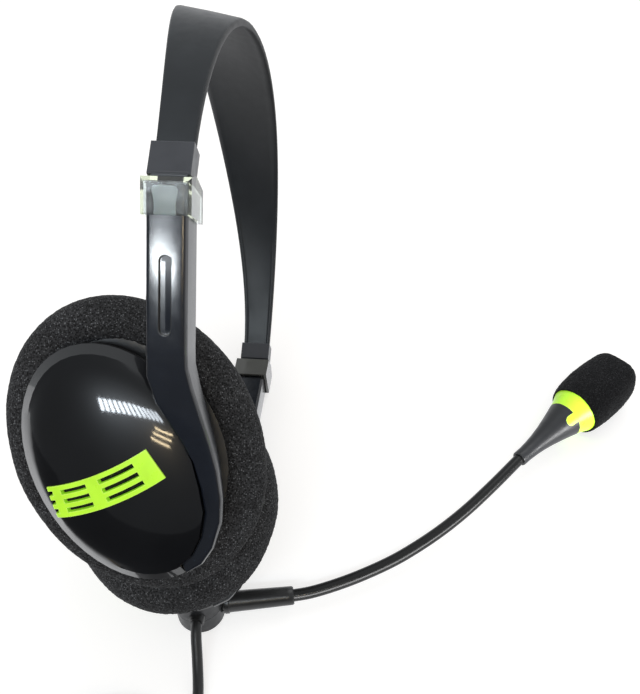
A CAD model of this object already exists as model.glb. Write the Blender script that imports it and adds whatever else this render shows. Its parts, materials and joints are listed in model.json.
"""Looks of the wired headset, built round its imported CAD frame.

Places are in the frame's axes, and lengths in metres. Where a comment says millimetres, they are as in the
part's source, and MM turns them into metres.
"""

import json
import math

import bpy
from mathutils import Matrix, Vector, noise


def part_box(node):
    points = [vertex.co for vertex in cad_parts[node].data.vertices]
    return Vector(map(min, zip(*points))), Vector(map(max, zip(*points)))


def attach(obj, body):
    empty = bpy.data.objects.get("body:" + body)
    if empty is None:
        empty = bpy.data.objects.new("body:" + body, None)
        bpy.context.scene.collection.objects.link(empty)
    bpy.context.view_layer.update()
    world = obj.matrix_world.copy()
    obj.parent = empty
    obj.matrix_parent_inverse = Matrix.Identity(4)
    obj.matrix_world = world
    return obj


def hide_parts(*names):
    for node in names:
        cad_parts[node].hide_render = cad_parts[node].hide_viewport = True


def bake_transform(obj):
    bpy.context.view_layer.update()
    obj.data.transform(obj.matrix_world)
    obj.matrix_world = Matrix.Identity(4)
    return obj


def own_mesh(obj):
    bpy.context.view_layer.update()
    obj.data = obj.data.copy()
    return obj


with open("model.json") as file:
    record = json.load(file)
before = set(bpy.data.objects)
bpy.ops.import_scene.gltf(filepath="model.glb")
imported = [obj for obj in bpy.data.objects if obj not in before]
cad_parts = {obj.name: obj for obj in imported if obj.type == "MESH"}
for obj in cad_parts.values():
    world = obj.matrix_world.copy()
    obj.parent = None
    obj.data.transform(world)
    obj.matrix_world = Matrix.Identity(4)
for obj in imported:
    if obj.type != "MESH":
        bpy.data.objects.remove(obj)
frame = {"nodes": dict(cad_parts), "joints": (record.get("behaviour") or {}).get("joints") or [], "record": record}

MM = 0.001
SIDES = ("right", "left")
nodes = frame["nodes"]
joints = {joint["name"]: joint for joint in frame["joints"]}
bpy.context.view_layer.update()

# Camera, as solved from the photograph's perspective (metres, but lens and sensor in millimetres)
CAMERA_PLACE = (0.0556, -0.1325, 0.2619)
CAMERA_FORWARD = (-0.086, 0.6761, -0.7318)
CAMERA_UP = (-0.0493, 0.7307, 0.6809)
CAMERA_LENS = 49.98
CAMERA_SENSOR = 36.0

# Ear pad: x and y run in its face, and z points out of the ear (millimetres and degrees)
PAD_A, PAD_B, PAD_T = 30.0, 38.4, 12.5          # half axes and thickness
PAD_FACE, PAD_DISH = -6.35, 0.35                # z of the face towards the ear, and how far it is dished
PAD_WALL, PAD_LIP, FOAM_FRONT = 6.0, 4.0, 2.8   # foam beside the capsule, over its back and before its front
PAD_STEP_Z, SOFT_GAP = 3.0, 0.3                 # z of the lip's inner side, and the gap round the capsule
PAD_YAW, OVAL_TURN = 13.2, 29.3                 # fold of the pad about y, and turn of the oval in its face
PIVOT_W = 8.0                                   # from the cup's ball to the pad's middle, along z

# Windscreen, measured along the microphone's axis (millimetres and degrees)
MIC_TURN, CAPSULE_MID = 48.4, 31.0              # the axis's turn about Z, and the capsule's middle on it
SCREEN_START, SCREEN_R, SCREEN_LEN = 29.3, 9.8, 24.4
HOLDER_R, HOLDER_END = 5.6, 36.0                # the hollow round the capsule's holder

# Foam: the size of the pores cut in its surface and of its slow lumps (millimetres)
PORE_CELL, LUMP_CELL = 0.9, 15.0
POLE_R = 0.05                                   # radius of the small ring that closes a lathed form

# Cable, with the length and the route of the part's source (millimetres, but the length in metres)
CABLE_D, COIL_R, TURNS_ACROSS, LAYERS = 3.1, 17.0, 4, 4
CABLE_ROUTE = ((1.1, -8.0, 10.0), (1.3, -10.0, 9.6), (1.6, -12.5, 8.1), (2.1, -15.5, 5.8),
               (2.6, -18.5, 4.0), (3.2, -22.0, 2.6), (3.8, -26.0, 1.8), (4.2, -31.0, 1.6),
               (4.4, -36.0, 1.6), (4.4, -42.0, 1.6), (4.4, -49.0, 1.6))

# Gooseneck, a little thicker than the source's (millimetres), and its direction at its joint and the stretch
# each side of the joint over which it bends (metres)
TUBE_R, TUBE_SIDES = 1.82, 20
GOOSENECK_ROUTE = ((21.22, 4.01, 4.8), (27.12, 5.12, 4.8), (33.6, 6.95, 5.0), (43.6, 11.2, 5.6),
                   (54.1, 17.0, 6.2), (61.9, 22.4, 6.8), (70.0, 29.0, 7.6), (78.0, 36.7, 8.5),
                   (86.3, 46.1, 9.3), (94.3, 55.9, 9.8), (97.6, 59.6, 9.8))


# ---- Places and curves ----

def inside(node, shares):
    """The point of a CAD node's box at the given shares of its width, depth and height."""
    low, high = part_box(node)
    return Vector([a + share * (b - a) for a, b, share in zip(low, high, shares)])


def smoothstep(t):
    return t * t * (3 - 2 * t)


def smooth_curve(points, steps):
    """Catmull-Rom curve through points of any dimension, with steps points for each stretch."""
    out = []
    last = len(points) - 1
    for i in range(last):
        a, b, c, d = points[max(i - 1, 0)], points[i], points[i + 1], points[min(i + 2, last)]
        for k in range(steps):
            t = k / steps
            out.append(tuple(
                q + t * (r - p) / 2 + t * t * (p - 2.5 * q + 2 * r - s / 2)
                + t ** 3 * (1.5 * (q - r) + (s - p) / 2)
                for p, q, r, s in zip(a, b, c, d)))
    out.append(tuple(points[last]))
    return out


def oval(a, b, z, count):
    """Points of an oval with half axes a and b, at height z."""
    turns = [2 * math.pi * j / count for j in range(count)]
    return [(a * math.cos(turn), b * math.sin(turn), z) for turn in turns]


def placer(origin, x, y, z):
    """Function that carries a local point in millimetres to its place along the axes x, y and z."""
    return lambda p: origin + MM * (p.x * x + p.y * y + p.z * z)


# ---- Objects ----

def add_object(name, data, material=None):
    obj = bpy.data.objects.new(name, data)
    bpy.context.scene.collection.objects.link(obj)
    if material:
        data.materials.append(material)
    return obj


def add_mesh(name, points, faces, material, smooth_faces=0):
    """A mesh object whose first smooth_faces faces are shaded smooth."""
    mesh = bpy.data.meshes.new(name)
    mesh.from_pydata(points, [], faces)
    mesh.polygons.foreach_set("use_smooth", [k < smooth_faces for k in range(len(faces))])
    return add_object(name, mesh, material)


def tube_faces(rings, count):
    """Faces between rings of count points each, then a cap on the first ring and on the last."""
    faces = []
    for i in range(rings - 1):
        for j in range(count):
            n = (j + 1) % count
            faces.append((i * count + j, i * count + n, (i + 1) * count + n, (i + 1) * count + j))
    last = (rings - 1) * count
    faces.append(tuple(range(count - 1, -1, -1)))
    faces.append(tuple(range(last, last + count)))
    return faces


# ---- Camera ----

def add_camera():
    data = bpy.data.cameras.new("camera")
    data.lens = CAMERA_LENS
    data.sensor_width = CAMERA_SENSOR
    data.clip_start = 0.01
    camera = add_object("camera", data)
    forward = Vector(CAMERA_FORWARD).normalized()
    right = forward.cross(Vector(CAMERA_UP).normalized()).normalized()
    up = right.cross(forward)
    turn = Matrix((right, up, -forward)).transposed().to_4x4()
    camera.matrix_world = Matrix.Translation(CAMERA_PLACE) @ turn
    bpy.context.scene.camera = camera


# ---- Shader nodes ----

def connect(tree, value, socket):
    """Links a socket to another node's output, or gives it a plain value."""
    if isinstance(value, bpy.types.NodeSocket):
        tree.links.new(value, socket)
    else:
        socket.default_value = value


def add_node(tree, kind, inputs=None, **settings):
    """A shader node with its settings made and its inputs, by name or number, connected."""
    node = tree.nodes.new("ShaderNode" + kind)
    for name, value in settings.items():
        setattr(node, name, value)
    for key, value in (inputs or {}).items():
        connect(tree, value, node.inputs[key])
    return node


def opaque(colour):
    """A colour with its alpha. The output of a node stays as it is."""
    return (*colour, 1.0) if isinstance(colour, tuple) else colour


def combine(tree, operation, first, second):
    return add_node(tree, "Math", {0: first, 1: second}, operation=operation).outputs["Value"]


def product(tree, *values):
    total = values[0]
    for value in values[1:]:
        total = combine(tree, "MULTIPLY", total, value)
    return total


def dot(tree, first, second):
    return add_node(tree, "VectorMath", {0: first, 1: second}, operation="DOT_PRODUCT").outputs["Value"]


def remap(tree, value, source, target=(0.0, 1.0), blending="LINEAR"):
    """Carries value from the range source to the range target, and no further."""
    inputs = {"Value": value, "From Min": source[0], "From Max": source[1],
              "To Min": target[0], "To Max": target[1]}
    return add_node(tree, "MapRange", inputs, interpolation_type=blending).outputs["Result"]


def mix_colours(tree, factor, first, second):
    inputs = {0: factor, 6: opaque(first), 7: opaque(second)}
    return add_node(tree, "Mix", inputs, data_type="RGBA").outputs[2]


def mix_shaders(tree, factor, first, second):
    return add_node(tree, "MixShader", {0: factor, 1: first, 2: second}).outputs["Shader"]


def coordinates(tree):
    """Object coordinates, made once for each material."""
    found = tree.nodes.get("place")
    if found is None:
        found = add_node(tree, "TexCoord", name="place")
    return found.outputs["Object"]


def add_noise(tree, size, detail=3.0):
    """Noise whose features are about size millimetres across."""
    inputs = {"Scale": 1.0 / (size * MM), "Detail": detail, "Vector": coordinates(tree)}
    return add_node(tree, "TexNoise", inputs).outputs["Fac"]


def add_cells(tree, size):
    """Cells about size millimetres across: their distance and a colour for each."""
    return add_node(tree, "TexVoronoi", {"Scale": 1.0 / (size * MM), "Vector": coordinates(tree)}).outputs


def set_shader(tree, **sockets):
    """Connects inputs of the material's shader, named with _ for a space."""
    shader = tree.nodes["Principled BSDF"]
    for name, value in sockets.items():
        connect(tree, value, shader.inputs[name.replace("_", " ")])


def add_bump(tree, height, strength, depth):
    """Bump of depth millimetres, on top of any shading of the surface already there."""
    inputs = {"Strength": strength, "Distance": depth * MM, "Height": height}
    normal = tree.nodes["Principled BSDF"].inputs["Normal"]
    if normal.is_linked:
        inputs["Normal"] = normal.links[0].from_socket
    set_shader(tree, Normal=add_node(tree, "Bump", inputs).outputs["Normal"])


def bevelled(tree, radius, samples):
    """The surface's direction as if its edges were rounded by radius millimetres."""
    return add_node(tree, "Bevel", {"Radius": radius * MM}, samples=samples).outputs["Normal"]


def edge_mask(tree, radius):
    """1 on edges that a rounding of radius millimetres would touch, 0 on flats."""
    surface = add_node(tree, "NewGeometry").outputs["Normal"]
    return remap(tree, dot(tree, bevelled(tree, radius, samples=4), surface), (0.99, 0.85))


# ---- Materials ----

def new_material(name, colour, roughness, **sockets):
    material = bpy.data.materials.new(name)
    material.use_nodes = True
    set_shader(material.node_tree, Base_Color=opaque(colour), Roughness=roughness, **sockets)
    return material


def moulded(name, colour, roughness, spread=0.15, grain=0.25, grain_depth=0.02, edge=0.0, wear=None,
            **sockets):
    """Moulded plastic: fine grain, uneven gloss, faint colour drift, rounded edges and paler worn ones.
    Grain, grain_depth and edge are in millimetres, and spread is the share by which roughness varies."""
    material = new_material(name, colour, roughness, **sockets)
    tree = material.node_tree
    darker = tuple(0.8 * c for c in colour)
    tone = mix_colours(tree, remap(tree, add_noise(tree, size=9.0), (0.35, 0.65)), colour, darker)
    if wear:
        tone = mix_colours(tree, edge_mask(tree, radius=0.35), tone, wear)
    smear = add_noise(tree, size=2.5, detail=5.0)
    glossier, duller = roughness * (1.0 - spread), roughness * (1.0 + spread)
    set_shader(tree, Base_Color=tone, Roughness=remap(tree, smear, (0.3, 0.7), (glossier, duller)))
    if edge:
        set_shader(tree, Normal=bevelled(tree, edge, samples=6))
    add_bump(tree, add_noise(tree, grain, detail=2.0), strength=0.35, depth=grain_depth)
    return material


def foam(name, cell, dark, strut, fleck):
    """Open-cell foam with cells of cell millimetres: dark pores in a net of paler struts, whose joints catch
    the light unevenly."""
    material = new_material(name, dark, 0.9, Specular_IOR_Level=0.25)
    tree = material.node_tree
    net = remap(tree, add_cells(tree, cell)["Distance"], (0.2, 0.7))
    tone = mix_colours(tree, net, dark, strut)
    grains = add_cells(tree, 0.85 * cell)
    chance = add_node(tree, "SeparateColor", {"Color": grains["Color"]}).outputs["Red"]
    lit = remap(tree, chance, (0.15, 1.0))
    near = remap(tree, grains["Distance"], (0.5, 0.15))
    tone = mix_colours(tree, product(tree, lit, lit, near), tone, fleck)
    drift = remap(tree, add_noise(tree, size=7.0), (0.3, 0.7), (0.0, 0.35))
    set_shader(tree, Base_Color=mix_colours(tree, drift, tone, dark),
               Roughness=remap(tree, net, (0.0, 1.0), (0.95, 0.75)))
    add_bump(tree, net, strength=0.8, depth=0.3 * cell)
    add_bump(tree, add_noise(tree, 0.4 * cell, detail=2.0), strength=0.5, depth=0.12 * cell)
    return material


def brushed(name, colour, roughness):
    """Metal with fine uneven streaks and darker, duller patches."""
    material = new_material(name, colour, roughness, Metallic=1.0)
    tree = material.node_tree
    streaks = add_noise(tree, size=0.4, detail=6.0)
    worn = tuple(0.7 * c for c in colour)
    set_shader(tree, Base_Color=mix_colours(tree, add_noise(tree, size=3.0), colour, worn),
               Roughness=remap(tree, streaks, (0.3, 0.7), (0.8 * roughness, 1.3 * roughness)))
    add_bump(tree, streaks, strength=0.2, depth=0.01)
    return material


def clear_plastic(name, colour, clearness):
    """Clear moulding: slightly wavy, smeared gloss, and a yellow-green cast through its thickness."""
    material = new_material(name, colour, 0.03, Transmission_Weight=clearness, IOR=1.45)
    tree = material.node_tree
    haze = add_noise(tree, size=3.0)
    set_shader(tree, Roughness=remap(tree, haze, (0.35, 0.7), (0.08, 0.18)))
    add_bump(tree, haze, strength=0.1, depth=0.008)
    cast = add_node(tree, "VolumeAbsorption", {"Color": (0.80, 0.85, 0.50, 1.0), "Density": 65.0})
    connect(tree, cast.outputs["Volume"], tree.nodes["Material Output"].inputs["Volume"])
    return material


def shade_groove(tree):
    """Takes the gloss off the far wall and the top end of the groove in the right arm (millimetres)."""
    low = inside("right_arm", (0.7257, 0, 0.6723)) / MM
    high = inside("right_arm", (0.7774, 0, 0.8383)) / MM
    wall_w, top_h, top_over = 1.55, 1.0, 0.3
    dull, glossy = 0.06, 0.5
    split = add_node(tree, "SeparateXYZ", {"Vector": coordinates(tree)}).outputs

    def band(axis, start, end, blur):
        """1 between start and end along an axis, 0 outside, with soft edges."""
        rising = remap(tree, split[axis], ((start - blur) * MM, (start + blur) * MM))
        falling = remap(tree, split[axis], ((end - blur) * MM, (end + blur) * MM), (1.0, 0.0))
        return product(tree, rising, falling)

    wall = product(tree, band("X", high.x - wall_w, high.x, 0.15), band("Z", low.z, high.z, 0.4))
    top = product(tree, band("X", low.x, high.x, 0.3), band("Z", high.z - top_h, high.z + top_over, 0.2))
    outside_wall, outside_top = [remap(tree, mask, (0.0, 1.0), (1.0, 0.0)) for mask in (wall, top)]
    outside = product(tree, outside_wall, outside_top)
    set_shader(tree, Specular_IOR_Level=remap(tree, outside, (0.0, 1.0), (dull, glossy)))


def make_materials():
    made = {
        "strap_black": moulded("strap_black", (0.010, 0.011, 0.0125), 0.46, spread=0.05, grain=0.3,
                               grain_depth=0.01, edge=0.5, wear=(0.038, 0.040, 0.043),
                               Specular_IOR_Level=0.22),
        "block_grey": moulded("block_grey", (0.046, 0.050, 0.060), 0.36, edge=0.3, wear=(0.08, 0.085, 0.095)),
        "clear_collar": clear_plastic("clear_collar", (0.90, 0.94, 0.94), 0.96),
        "smoked_collar": clear_plastic("smoked_collar", (0.11, 0.115, 0.112), 0.25),
        "arm_black": moulded("arm_black", (0.009, 0.011, 0.016), 0.17, grain_depth=0.001, edge=0.3,
                             wear=(0.05, 0.046, 0.04)),
        "shell_black": moulded("shell_black", (0.004, 0.0045, 0.006), 0.06, grain=0.8, grain_depth=0.0005,
                               Coat_Weight=0.42, Coat_Roughness=0.30),
        "lime": moulded("lime", (0.50, 0.93, 0.035), 0.3, edge=0.35, wear=(0.72, 1.0, 0.2),
                        Emission_Color=(0.45, 0.85, 0.04, 1.0), Emission_Strength=0.2),
        "grille_cloth": foam("grille_cloth", 0.5, dark=(0.003, 0.003, 0.003), strut=(0.012, 0.012, 0.012),
                             fleck=(0.03, 0.03, 0.03)),
        "steel": brushed("steel", (0.55, 0.56, 0.58), 0.3),
        "nylon": moulded("nylon", (0.75, 0.74, 0.68), 0.4),
        "housing_black": moulded("housing_black", (0.012, 0.013, 0.015), 0.38, wear=(0.04, 0.04, 0.042)),
        "magnet_grey": brushed("magnet_grey", (0.18, 0.18, 0.19), 0.45),
        "film": moulded("film", (0.62, 0.58, 0.42), 0.25),
        "foam_black": foam("foam_black", 0.52, dark=(0.006, 0.006, 0.0065), strut=(0.034, 0.035, 0.038),
                           fleck=(0.20, 0.21, 0.225)),
        "foam_fine": foam("foam_fine", 0.5, dark=(0.0015, 0.0015, 0.002), strut=(0.005, 0.0052, 0.0065),
                          fleck=(0.06, 0.06, 0.068)),
        "hub_grey": moulded("hub_grey", (0.014, 0.015, 0.017), 0.45, edge=0.4, wear=(0.05, 0.053, 0.058),
                            Specular_IOR_Level=0.3),
        "sleeve_black": moulded("sleeve_black", (0.013, 0.013, 0.0135), 0.34),
        "cable_black": moulded("cable_black", (0.009, 0.009, 0.0095), 0.42, grain=0.5, grain_depth=0.01),
        "tube_black": moulded("tube_black", (0.006, 0.006, 0.006), 0.27, grain=0.4, grain_depth=0.003,
                              Specular_IOR_Level=0.28),
        "plated": brushed("plated", (0.80, 0.60, 0.26), 0.2),
        "frosted": moulded("frosted", (0.66, 0.70, 0.72), 0.3, grain=0.2, grain_depth=0.01),
    }
    shade_groove(made["arm_black"].node_tree)
    return made


# ---- CAD nodes ----

WELD_GAP = 2e-6
FLAT_ANGLE, SMOOTH_ANGLE, SHELL_ANGLE = 0.3, 38.0, 13.0   # degrees; the shell's rim is a shallow crease
FLAT_SIDED = ("block_grey", "clear_collar", "smoked_collar", "arm_black")


def finish_node(name, material, smooth_angle, flat_sided):
    """Gives a CAD node its material, and shades it smooth across edges below smooth_angle degrees.
    A flat-sided one first has each flat made one face."""
    obj = nodes[name]
    mesh = obj.data
    if "custom_normal" in mesh.attributes:
        mesh.attributes.remove(mesh.attributes["custom_normal"])
    mesh.materials.clear()
    mesh.materials.append(material)
    mesh.polygons.foreach_set("use_smooth", [True] * len(mesh.polygons))
    mesh.polygons.foreach_set("material_index", [0] * len(mesh.polygons))
    weld = obj.modifiers.new("weld", "WELD")
    weld.merge_threshold = WELD_GAP
    if flat_sided:
        whole = obj.modifiers.new("whole_faces", "DECIMATE")
        whole.decimate_type = "DISSOLVE"
        whole.angle_limit = math.radians(FLAT_ANGLE)
    split = obj.modifiers.new("sharp_edges", "EDGE_SPLIT")
    split.split_angle = math.radians(smooth_angle)
    obj.modifiers.new("flat_faces", "WEIGHTED_NORMAL")


def dress_nodes(materials):
    """Every CAD node gets its slot's material, but the far collar is the smoky one."""
    for part in frame["record"]["subparts"]:
        name = part["node"]
        look = "smoked_collar" if name == "left_collar" else part["material_slot"]
        smooth_angle = SHELL_ANGLE if look == "shell_black" else SMOOTH_ANGLE
        finish_node(name, materials[look], smooth_angle, look in FLAT_SIDED)


# ---- Near collar ----

def collar_patch(material):
    """Frosted patch between the near collar's front wall and the arm inside it (millimetres)."""
    centre = inside("right_collar", (0.4912, 0.187, 0.7282)) / MM
    across = Vector((1, 0, 0))
    along = -Vector(joints["right_slide"]["axis"])
    out = across.cross(along)
    half = [(-2.6, -2.9), (-2.5, -1.0), (-2.75, 0.9), (-3.05, 2.2), (-2.6, 3.0), (-1.6, 3.25)]
    other_half = [(-0.92 * x, w) for x, w in reversed(half)]
    outline = smooth_curve(half + other_half, 4)
    points = [MM * (centre + x * across + w * along + depth * out)
              for depth in (0.06, 0.11) for x, w in outline]
    patch = add_mesh("collar_patch", points, tube_faces(2, len(outline)), material)
    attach(patch, "headband")


# ---- Foam pads and windscreen ----

def cup_axes(side):
    """Pad centre and axes: x and y in its face, z out of the ear."""
    tilt, swivel = joints[f"{side}_tilt"], joints[f"{side}_swivel"]
    x, y = Vector((1, 0, 0)), Vector(swivel["axis"]).normalized()
    z = x.cross(y) * (1 if side == "right" else -1)
    yaw, turn = math.radians(PAD_YAW), math.radians(OVAL_TURN)
    x, z = math.cos(yaw) * x - math.sin(yaw) * z, math.sin(yaw) * x + math.cos(yaw) * z
    x, y = math.cos(turn) * x + math.sin(turn) * y, math.cos(turn) * y - math.sin(turn) * x
    centre = Vector(tilt["pos_m"]) - PIVOT_W * MM * z
    return centre, x, y, z


def foam_relief(pore_depth, lump_depth):
    """How far foam stands in or out at a point: cut pores over slow lumps (millimetres)."""
    reach = 0.8

    def height(point):
        distances, _ = noise.voronoi(point / PORE_CELL)
        pore = min(distances[0], reach) / reach
        return pore_depth * (pore - 0.5) + lump_depth * noise.noise(point / LUMP_CELL)
    return height


def closed_lathe(name, rings, place, rough_rings, relief, material):
    """Closed mesh through rings of local (x, y, z) points, which place(point) puts in the scene.
    Points of the first rough_rings rings first move outwards by relief(point)."""
    count = len(rings[0])
    points = [Vector(p) for ring in rings for p in ring]
    normals = []
    for i, ring in enumerate(rings[:rough_rings]):
        before, after = rings[max(i - 1, 0)], rings[min(i + 1, len(rings) - 1)]
        for j in range(count):
            along = Vector(ring[(j + 1) % count]) - Vector(ring[j - 1])
            across = Vector(after[j]) - Vector(before[j])
            normals.append(along.cross(across).normalized())
    for k, normal in enumerate(normals):
        points[k] = points[k] + relief(points[k]) * normal
    faces = tube_faces(len(rings), count)
    return add_mesh(name, [place(p) for p in points], faces, material, smooth_faces=len(faces))


def declare_foam(piece, body, node):
    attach(piece, body)
    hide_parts(node)


def pad_rings():
    """Rings from the middle of the pad's face, round its rim and into the recess at its back, and how many of
    them show (millimetres)."""
    count, face_steps, face_inset = 420, 20, 11.0
    half = PAD_T / 2
    profile = smooth_curve([
        (10.4, half - 1.0), (9.2, half - 0.2), (7.2, half + 0.1), (5.0, half - 0.1), (2.7, half - 0.8),
        (1.0, half - 2.3), (0.2, half - 4.2), (0.0, -0.4), (0.3, -2.2), (1.2, -3.9), (2.8, -5.2), (5.2, -6.0),
        (8.0, -6.3), (face_inset, PAD_FACE)], 6)
    rings = [oval(PAD_A - inset, PAD_B - inset, z, count) for inset, z in profile]
    for k in range(1, face_steps):
        share = 1 - k / face_steps
        a, b = (PAD_A - face_inset) * share + POLE_R, (PAD_B - face_inset) * share + POLE_R
        rings.append(oval(a, b, PAD_FACE + PAD_DISH * (1 - share ** 2), count))
    rings.reverse()
    shown = len(rings)
    rings.append([(0.999 * x, 0.999 * y, half - 2.0) for x, y, _ in rings[-1]])
    wall = PAD_WALL - SOFT_GAP
    step, floor_z = PAD_STEP_Z + SOFT_GAP, -half + FOAM_FRONT - 0.05
    for inset, z in ((wall + PAD_LIP, step), (wall, step - 0.05), (wall, floor_z)):
        rings.append(oval(PAD_A - inset, PAD_B - inset, z, count))
    rings.append(oval(POLE_R, POLE_R, floor_z, count))
    return rings, shown


def foam_pad(side, material):
    rings, shown = pad_rings()
    if side == "left":
        rings = [ring[::-1] for ring in rings]
    centre, x, y, z = cup_axes(side)
    place = placer(centre, x, y, z)
    relief = foam_relief(pore_depth=0.24, lump_depth=0.35)
    pad = closed_lathe(f"{side}_pad_foam", rings, place, shown, relief, material)
    declare_foam(pad, f"{side}_cup", f"{side}_foam_pad")
    face = place(Vector((0, 0, PAD_FACE)))
    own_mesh(pad)


def windscreen(material):
    """Foam windscreen, a little square across, over the microphone's holder (millimetres)."""
    turn = math.radians(MIC_TURN)
    axis, up = Vector((math.cos(turn), math.sin(turn), 0)), Vector((0, 0, 1))
    side = up.cross(axis)
    root = inside("mic_capsule", (0.5, 0.5, 0.5)) - CAPSULE_MID * MM * axis
    start, end = SCREEN_START, SCREEN_START + SCREEN_LEN
    outline = smooth_curve([
        (POLE_R, end), (4.0, end - 0.05), (6.4, end - 0.4), (8.0, end - 1.5), (8.8, end - 3.3),
        (9.2, end - 6.0), (9.6, end - 9.5), (SCREEN_R, end - 13.5), (SCREEN_R, start + 7.0),
        (9.6, start + 3.4), (9.1, start + 0.4), (8.6, start - 0.9)], 6)
    hollow = [(HOLDER_R, start + 0.1), (HOLDER_R, HOLDER_END + 0.3), (POLE_R, HOLDER_END + 0.3)]
    rings = [oval(r, r, w, 110)[::-1] for r, w in outline + hollow]
    lumps = foam_relief(pore_depth=0.2, lump_depth=0.35)

    def relief(point):
        """The round form gives up lumps, and becomes a little square towards its tip."""
        fading = min(1.0, math.hypot(point.x, point.y) / 9) * (1 if point.z > start + 6 else 0.3)
        squared = 0.35 * math.cos(4 * math.atan2(point.y, point.x) + 0.2) * fading
        return -(lumps(point) + squared)

    screen = closed_lathe("mic_foam", rings, placer(root, side, up, axis), len(outline), relief, material)
    declare_foam(screen, "microphone", "mic_windscreen")


# ---- Gooseneck ----

def gooseneck(material):
    """One smooth tube through both stretches, bending where they meet."""
    route = smooth_curve(GOOSENECK_ROUTE, 5)
    points = []
    for i, point in enumerate(route):
        ahead = Vector(route[min(i + 1, len(route) - 1)]) - Vector(route[max(i - 1, 0)])
        across = Vector((-ahead.y, ahead.x, 0)).normalized()
        up = ahead.cross(across).normalized()
        for x, y, _ in oval(TUBE_R, TUBE_R, 0, TUBE_SIDES):
            points.append(MM * (Vector(point) + x * across + y * up))
    faces = tube_faces(len(route), TUBE_SIDES)
    tube = add_mesh("gooseneck", points, faces, material, smooth_faces=len(faces) - 2)
    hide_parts("gooseneck_lower", "gooseneck_upper")
    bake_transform(tube)


# ---- Cable ----

def coil_shape():
    """Centre of the coil and the radius of its outermost turn (millimetres)."""
    return inside("cable_coil", (0.5, 0.5, 0.5)) / MM, COIL_R + (TURNS_ACROSS - 1) * CABLE_D / 2


def coil_points():
    """Turns of the wound cable, from the table up, as flat layers that wind in and out."""
    per_turn = 24
    centre, outer = coil_shape()
    points = []
    for layer in range(LAYERS):
        for k in range(TURNS_ACROSS * per_turn):
            u = k / per_turn
            inward = min(max(u - 0.5, 0.0), TURNS_ACROSS - 1)
            radius = outer - CABLE_D * (inward if layer % 2 == 0 else TURNS_ACROSS - 1 - inward)
            climb = min(max((u - TURNS_ACROSS + 0.4) / 0.4, 0.0), 1.0) if layer < LAYERS - 1 else 0.0
            z = CABLE_D * (layer + 0.5 + smoothstep(climb))
            angle = -2 * math.pi * (layer * TURNS_ACROSS + u)
            points.append((centre.x + radius * math.cos(angle), centre.y + radius * math.sin(angle), z))
    return points


def lead_points():
    """From the coil's top round its side and down into the plug's relief."""
    steps, turn = 14, math.radians(84)
    centre, outer = coil_shape()
    plug = inside("plug_relief", (1, 0.5, 0.5)) / MM
    top = CABLE_D * (LAYERS - 0.5)
    points = []
    for k in range(steps):
        share = k / steps
        ease = smoothstep(share)
        radius = outer + (CABLE_D + 0.15) * min(1.0, 3 * ease)
        x, y = centre.x + radius * math.cos(-turn * share), centre.y + radius * math.sin(-turn * share)
        points.append((x, y, top + (plug.z - top) * ease))
    return points + [(plug.x + 0.6, plug.y, plug.z), (plug.x - 2.0, plug.y, plug.z)]


def cable(material):
    centre, _ = coil_shape()
    loose = smooth_curve([*CABLE_ROUTE, (CABLE_ROUTE[-1][0], centre.y + 5.0, CABLE_D / 2)], 2)
    points = loose + coil_points() + lead_points()
    data = bpy.data.curves.new("cable_line", "CURVE")
    data.dimensions = "3D"
    data.bevel_depth = CABLE_D * MM / 2
    data.bevel_resolution = 4
    data.use_fill_caps = True
    spline = data.splines.new("POLY")
    spline.points.add(len(points) - 1)
    for target, point in zip(spline.points, points):
        target.co = (*(MM * Vector(point)), 1.0)
    spline.use_smooth = True
    line = add_object("cable_line", data, material)
    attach(line, "left_side")
    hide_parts("cable", "cable_coil")


# ---- Floor and room ----

def light_path(tree):
    return add_node(tree, "LightPath").outputs


def floor_material():
    """White to the camera, grey to what it lights, and to what mirrors it a white table that is dark on the
    photographer's side and brightest on the left."""
    albedo, lift = 0.52, 0.62
    photographer = (0.287, -0.958, 0.0)
    material = new_material("floor_white", (albedo, albedo, albedo), 0.9, Specular_IOR_Level=0.1,
                            Emission_Color=(1, 1, 1, 1))
    tree = material.node_tree
    path = light_path(tree)
    seen = combine(tree, "MAXIMUM", path["Is Camera Ray"], path["Is Transmission Ray"])
    set_shader(tree, Emission_Strength=combine(tree, "MULTIPLY", seen, lift))

    place = coordinates(tree)
    towards = add_node(tree, "VectorMath", {0: place}, operation="NORMALIZE").outputs["Vector"]
    distance = add_node(tree, "VectorMath", {0: place}, operation="LENGTH").outputs["Value"]
    front = remap(tree, dot(tree, towards, photographer), (-0.02, 0.10), (0.0, 0.97))
    away = remap(tree, distance, (0.07, 0.12))
    shaded = remap(tree, product(tree, front, away), (0.0, 1.0), (1.0, 0.0))
    left = add_node(tree, "SeparateXYZ", {"Vector": place}).outputs["X"]
    brighter_left = remap(tree, left, (0.0, -0.08), (1.1, 1.8))
    mirrored = add_node(tree, "Emission", {"Color": (0.97, 0.98, 1.0, 1.0),
                                           "Strength": product(tree, shaded, brighter_left)})
    plain = tree.nodes["Principled BSDF"].outputs["BSDF"]
    surface = mix_shaders(tree, path["Is Glossy Ray"], plain, mirrored.outputs["Emission"])
    connect(tree, surface, tree.nodes["Material Output"].inputs["Surface"])
    return material


def floor():
    """Large white table just under the lowest point, which is at z = 0."""
    half, drop = 6.0, 0.0001
    corners = [(-half, -half, 0), (half, -half, 0), (half, half, 0), (-half, half, 0)]
    table = add_mesh("floor", corners, [(0, 1, 2, 3)], floor_material())
    table.location.z = -drop


def background(tree, colour, strength=1.0):
    return add_node(tree, "Background", {"Color": opaque(colour), "Strength": strength}).outputs[0]


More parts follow.
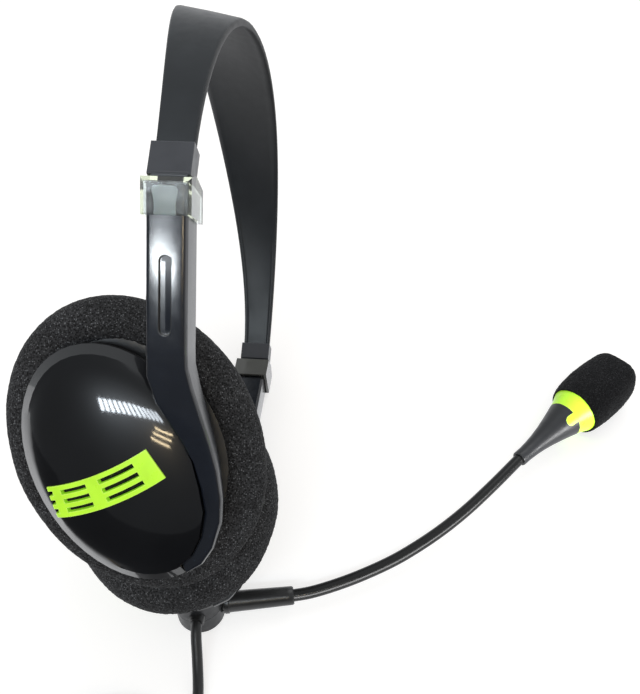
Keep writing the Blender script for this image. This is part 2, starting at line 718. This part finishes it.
def room():
    """White to the camera, warm white to what it lights, and to what mirrors it a cool white that darkens on
    the photographer's side. Clear plastic shows it white on the other sides."""
    world = bpy.data.worlds.new("room")
    bpy.context.scene.world = world
    world.use_nodes = True
    tree = world.node_tree
    tree.nodes.clear()
    path = light_path(tree)
    direction = add_node(tree, "TexCoord").outputs["Generated"]
    facing = dot(tree, direction, Vector((-0.25, -0.88, 0.35)).normalized())
    shade = remap(tree, facing, (0.20, 0.78), (0.82, 0.17), "SMOOTHSTEP")
    plain = background(tree, (1.0, 0.965, 0.92), 0.72)
    mirrored = background(tree, (0.93, 0.97, 1.0), shade)
    behind = remap(tree, facing, (0.1, 0.4), (1.0, 0.0))
    through = product(tree, path["Is Transmission Ray"], behind)
    clear = combine(tree, "MAXIMUM", path["Is Camera Ray"], through)
    unseen = mix_shaders(tree, path["Is Glossy Ray"], plain, mirrored)
    surface = mix_shaders(tree, clear, unseen, background(tree, (1.0, 1.0, 1.0)))
    add_node(tree, "OutputWorld", {"Surface": surface})


# ---- Lamps ----

COOL, NEUTRAL, WARM = (0.84, 0.92, 1.0), (1.0, 1.0, 1.0), (1.0, 0.80, 0.50)


def lamp(name, place, aim, size, radiance, colour=NEUTRAL, roll=0.0):
    """Rectangular lamp of size (width, height) whose face shines at radiance, rolled by degrees."""
    data = bpy.data.lights.new(name, "AREA")
    data.shape = "RECTANGLE"
    data.size, data.size_y = size
    data.energy = radiance * math.pi * size[0] * size[1]
    data.color = colour
    obj = add_object(name, data)
    turn = (Vector(aim) - Vector(place)).to_track_quat("-Z", "Y").to_matrix().to_4x4()
    obj.matrix_world = Matrix.Translation(place) @ turn @ Matrix.Rotation(math.radians(roll), 4, "Z")
    return obj


def light_only(source, pieces):
    """Keeps a lamp to the given pieces."""
    only = bpy.data.collections.new(source.name + "_receivers")
    for piece in pieces:
        only.objects.link(piece)
    source.light_linking.receiver_collection = only


def shell_lamps():
    """The row of cool tubes and the three warm strips that the near shell's dome mirrors."""
    dome = inside("right_outer_shell", (0.6425, 0.6346, 0.8331))
    towards = Vector((-0.03, -0.73, 0.70)).normalized()
    across = Vector((1.0, 0.05, 0.16)).normalized()
    tubes, row_length, row_middle, row_rise = 13, 0.56, 0.505, 0.018
    brightest, drop = 46.0, 27.0
    for k in range(tubes):
        share = k / (tubes - 1)
        place = dome + towards + row_length * (share - row_middle) * across + Vector((0, 0, row_rise))
        lamp(f"tube_{k}", place, dome, size=(0.029, 0.09), radiance=brightest - drop * share, colour=COOL,
             roll=25.0)
    first_strip = dome + Vector((0.17, -0.80, 0.56))
    strips, step = 3, Vector((0.03, 0.03, 0.03))
    for k in range(strips):
        place = first_strip + k * step
        lamp(f"warm_{k}", place, dome, size=(0.17, 0.014), radiance=30.0, colour=WARM, roll=-15.0)


def arm_lamps():
    """A wide sheen on the near arm and the patch, and one small glint on the arm."""
    arm = nodes["right_arm"]
    face = inside("right_arm", (0.7215, 0.6799, 0.8259))
    far = face + Vector((-0.25, -0.83, 0.507))
    sheen = lamp("sheen", far, face, size=(0.13, 0.06), radiance=8.0, colour=(0.80, 0.90, 1.0))
    light_only(sheen, [arm, bpy.data.objects["collar_patch"]])
    spot = inside("right_arm", (0.7067, 0.6653, 0.8048))
    close = spot + 0.12 * Vector((-0.25, -0.81, 0.53))
    glint = lamp("glint", close, spot, size=(0.022, 0.007), radiance=110.0, colour=(0.90, 0.96, 1.0))
    light_only(glint, [arm])


def strap_lamp():
    """Soft light along the lower end of the strap."""
    low_end = inside("headband_strap", (0.8286, 0.6446, 0.0656))
    above = low_end + Vector((-0.2, -0.38, 0.9))
    overhead = lamp("overhead", above, low_end, size=(0.35, 0.35), radiance=21.0, colour=(0.84, 0.94, 1.0))
    light_only(overhead, [nodes["headband_strap"]])


def boom_lamp():
    """A long streak on the gooseneck and the microphone's neck and ring."""
    aim = Vector((0.12, -0.01, 0.012))
    streak = lamp("streak", aim + 0.5 * Vector((0.55, -0.83, 0.16)), aim, size=(1.0, 0.26), radiance=16.0)
    light_only(streak, [nodes["mic_neck"], nodes["mic_ring"], bpy.data.objects["gooseneck"]])


def light_scene():
    room()
    lamp("key", (0.5, 0.75, 1.1), (0.0, 0.03, 0.08), size=(0.7, 0.7), radiance=1.6)
    shell_lamps()
    arm_lamps()
    strap_lamp()
    boom_lamp()


def main():
    bpy.context.scene.view_settings.view_transform = "Standard"
    add_camera()
    materials = make_materials()
    cable(materials["cable_black"])
    dress_nodes(materials)
    collar_patch(materials["frosted"])
    for side in SIDES:
        foam_pad(side, materials["foam_black"])
    windscreen(materials["foam_fine"])
    gooseneck(materials["tube_black"])
    floor()
    light_scene()


main()
